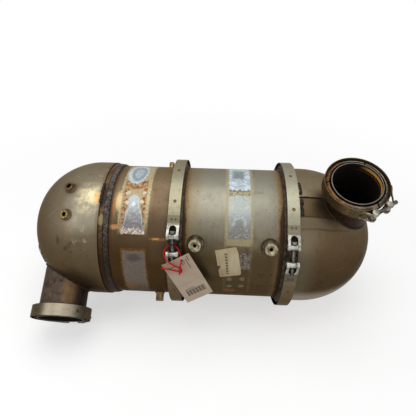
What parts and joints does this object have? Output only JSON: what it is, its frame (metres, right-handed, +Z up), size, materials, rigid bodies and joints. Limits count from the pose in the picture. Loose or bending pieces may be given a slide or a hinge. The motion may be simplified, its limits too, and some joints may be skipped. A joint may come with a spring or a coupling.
{
  "type": "diesel particulate filter",
  "caption": "Truck exhaust filter: catalyst and soot filter cans joined by V-band clamps, with a domed inlet head, a two-half outlet head and clamped side pipes.",
  "frame": {"origin": "centre of the bounding box in plan, on the surface that the part lies on", "axes": "+X along the cans from the inlet head to the outlet head, +Z up, -Y towards the side of the inlet pipe, the tag and the latches"},
  "size_m": [0.7842, 0.4014, 0.3962],
  "materials": {
    "can_steel": "heat-stained stainless sheet, grey with brown stains",
    "dome_steel": "dull pressed stainless sheet with brown stains",
    "scorched_steel": "dark brown heat scale",
    "band_steel": "dull greyish beige strip",
    "retainer_steel": "dark, heat-stained",
    "flange_steel": "dark machined steel",
    "plated_steel": "bright plated, worn",
    "brass": "dull brass",
    "filter_substrate": "matt porous ceramic",
    "mat_fibre": "pale fibre mat",
    "graphite": "matt dark gasket",
    "manila_paper": "matt beige card",
    "label_paper": "matt yellowed paper, torn",
    "red_string": "bright red string"
  },
  "bodies": {
    "root": {"inlet_head": "dome_steel", "inlet_head_ring": "scorched_steel", "inlet_pipe": "scorched_steel", "inlet_pipe_flange": "flange_steel", "temperature_boss": "plated_steel", "inlet_pressure_fitting": "brass", "end_strip": "plated_steel", "catalyst_can": "can_steel", "catalyst_brick": "filter_substrate", "catalyst_mat": "mat_fibre", "catalyst_outlet_flange": "flange_steel", "drain_stub": "scorched_steel", "catalyst_probe_fitting": "brass", "front_gasket": "graphite", "filter_inlet_flange": "flange_steel", "filter_can": "can_steel", "filter_brick": "filter_substrate", "filter_mat": "mat_fibre", "filter_outlet_flange": "flange_steel", "front_pressure_port": "plated_steel", "rear_pressure_port": "plated_steel", "rear_gasket": "graphite", "outlet_head_flange": "flange_steel", "outlet_head_upper": "dome_steel", "outlet_head_lower": "dome_steel", "outlet_pipe": "scorched_steel", "outlet_pipe_flange": "flange_steel", "paper_label": "label_paper", "paper_tag": "manila_paper", "tag_string": "red_string", "front_clamp_band": "band_steel", "front_clamp_retainer_1": "retainer_steel", "front_clamp_retainer_2": "retainer_steel", "front_clamp_retainer_3": "retainer_steel", "front_clamp_trunnion": "plated_steel", "front_clamp_trunnion_nut": "plated_steel", "front_clamp_bolt": "plated_steel", "rear_clamp_band": "band_steel", "rear_clamp_retainer_1": "retainer_steel", "rear_clamp_retainer_2": "retainer_steel", "rear_clamp_retainer_3": "retainer_steel", "rear_clamp_trunnion": "plated_steel", "rear_clamp_trunnion_nut": "plated_steel", "rear_clamp_bolt": "plated_steel", "inlet_clamp_band": "band_steel", "inlet_clamp_retainer_1": "retainer_steel", "inlet_clamp_retainer_2": "retainer_steel", "inlet_clamp_retainer_3": "retainer_steel", "inlet_clamp_trunnion": "plated_steel", "inlet_clamp_trunnion_nut": "plated_steel", "inlet_clamp_bolt": "plated_steel", "outlet_clamp_band": "band_steel", "outlet_clamp_retainer_1": "retainer_steel", "outlet_clamp_retainer_2": "retainer_steel", "outlet_clamp_retainer_3": "retainer_steel", "outlet_clamp_trunnion": "plated_steel", "outlet_clamp_trunnion_nut": "plated_steel", "outlet_clamp_bolt": "plated_steel"}
  },
  "joints": []
}
